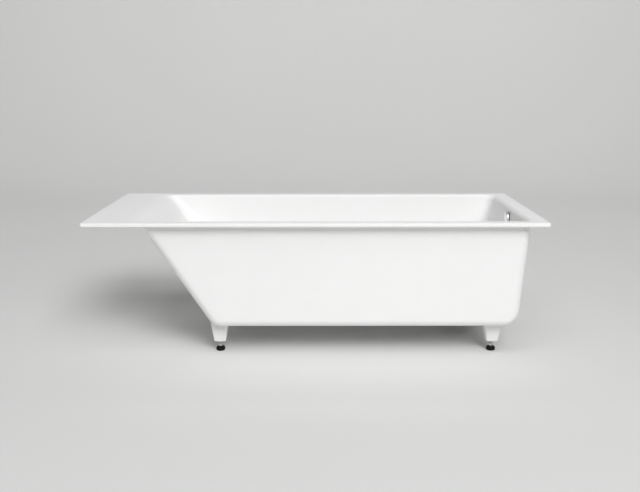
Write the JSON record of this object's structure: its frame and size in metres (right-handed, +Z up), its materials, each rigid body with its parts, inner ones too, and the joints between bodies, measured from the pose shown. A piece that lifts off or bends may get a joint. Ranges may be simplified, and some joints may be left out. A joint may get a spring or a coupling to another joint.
{
  "type": "bathtub",
  "caption": "Rectangular white bathtub with a thin overhanging rim, a sloping back rest, tapered legs on levelling feet, a click waste, an overflow and a low trap.",
  "frame": {"origin": "on the floor, under the middle of the rim", "axes": "+X along the tub towards the drain end, +Y towards the back, +Z up"},
  "size_m": [1.7, 0.75, 0.53],
  "materials": {
    "cast_stone": "smooth white cast mineral resin, matt",
    "chrome": "satin chrome plate",
    "steel": "bright zinc-plated steel",
    "brass": "turned brass",
    "rubber": "matt black rubber",
    "black_nylon": "matt black moulded nylon",
    "white_plastic": "moulded white polypropylene"
  },
  "bodies": {
    "tub": {"tub_shell": "cast_stone", "waste_flange": "chrome", "overflow_cover": "chrome", "overflow_ring": "chrome", "click_cartridge": "brass", "waste_upper_gasket": "rubber", "waste_lower_gasket": "rubber", "trap_body": "white_plastic", "trap_cup": "white_plastic", "trap_cup_seal": "rubber", "trap_dip_tube": "white_plastic", "dip_tube_seal": "rubber", "outlet_nut": "white_plastic", "outlet_wedge_ring": "rubber", "outlet_pipe": "white_plastic", "overflow_screw_front": "steel", "overflow_screw_back": "steel", "overflow_inner_gasket": "rubber", "overflow_outer_gasket": "rubber", "overflow_body": "white_plastic", "overflow_pipe": "white_plastic", "overflow_link_pipe": "white_plastic", "overflow_elbow": "white_plastic", "overflow_top_nut": "white_plastic", "overflow_top_wedge_ring": "rubber", "overflow_elbow_nut": "white_plastic", "overflow_elbow_wedge_ring": "rubber", "overflow_link_nut": "white_plastic", "overflow_link_wedge_ring": "rubber", "trap_inlet_nut": "white_plastic", "trap_inlet_wedge_ring": "rubber", "leg_front_left": "cast_stone", "thread_insert_front_left": "brass", "lock_nut_front_left": "steel", "leg_front_right": "cast_stone", "thread_insert_front_right": "brass", "lock_nut_front_right": "steel", "leg_back_left": "cast_stone", "thread_insert_back_left": "brass", "lock_nut_back_left": "steel", "leg_back_right": "cast_stone", "thread_insert_back_right": "brass", "lock_nut_back_right": "steel"},
    "plug": {"plug_cap": "chrome", "plug_stem": "steel", "plug_seal": "rubber"},
    "pad_front_left": {"floor_pad_front_left": "black_nylon"},
    "stud_front_left": {"levelling_stud_front_left": "steel"},
    "pad_front_right": {"floor_pad_front_right": "black_nylon"},
    "stud_front_right": {"levelling_stud_front_right": "steel"},
    "pad_back_left": {"floor_pad_back_left": "black_nylon"},
    "stud_back_left": {"levelling_stud_back_left": "steel"},
    "pad_back_right": {"floor_pad_back_right": "black_nylon"},
    "stud_back_right": {"levelling_stud_back_right": "steel"}
  },
  "joints": [
    {"name": "plug_lift", "type": "slide", "parent": "tub", "child": "plug", "axis": [0, 0, 1], "range_m": [0, 0.009]},
    {"name": "foot_extend_front_left", "type": "slide", "parent": "tub", "child": "pad_front_left", "axis": [0, 0, -1], "range_m": [-0.005, 0.012]},
    {"name": "stud_turn_front_left", "type": "hinge", "parent": "pad_front_left", "child": "stud_front_left", "pos_m": [-0.372, -0.225, 0.045], "axis": [0, 0, -1], "range_deg": [-1200, 2880]},
    {"name": "foot_extend_front_right", "type": "slide", "parent": "tub", "child": "pad_front_right", "axis": [0, 0, -1], "range_m": [-0.005, 0.012]},
    {"name": "stud_turn_front_right", "type": "hinge", "parent": "pad_front_right", "child": "stud_front_right", "pos_m": [0.685, -0.225, 0.045], "axis": [0, 0, -1], "range_deg": [-1200, 2880]},
    {"name": "foot_extend_back_left", "type": "slide", "parent": "tub", "child": "pad_back_left", "axis": [0, 0, -1], "range_m": [-0.005, 0.012]},
    {"name": "stud_turn_back_left", "type": "hinge", "parent": "pad_back_left", "child": "stud_back_left", "pos_m": [-0.372, 0.225, 0.045], "axis": [0, 0, -1], "range_deg": [-1200, 2880]},
    {"name": "foot_extend_back_right", "type": "slide", "parent": "tub", "child": "pad_back_right", "axis": [0, 0, -1], "range_m": [-0.005, 0.012]},
    {"name": "stud_turn_back_right", "type": "hinge", "parent": "pad_back_right", "child": "stud_back_right", "pos_m": [0.685, 0.225, 0.045], "axis": [0, 0, -1], "range_deg": [-1200, 2880]}
  ],
  "couplings": [
    {"joint": "stud_turn_front_left", "follows": "foot_extend_front_left", "rad_per_m": 4188.8},
    {"joint": "stud_turn_front_right", "follows": "foot_extend_front_right", "rad_per_m": 4188.8},
    {"joint": "stud_turn_back_left", "follows": "foot_extend_back_left", "rad_per_m": 4188.8},
    {"joint": "stud_turn_back_right", "follows": "foot_extend_back_right", "rad_per_m": 4188.8}
  ]
}
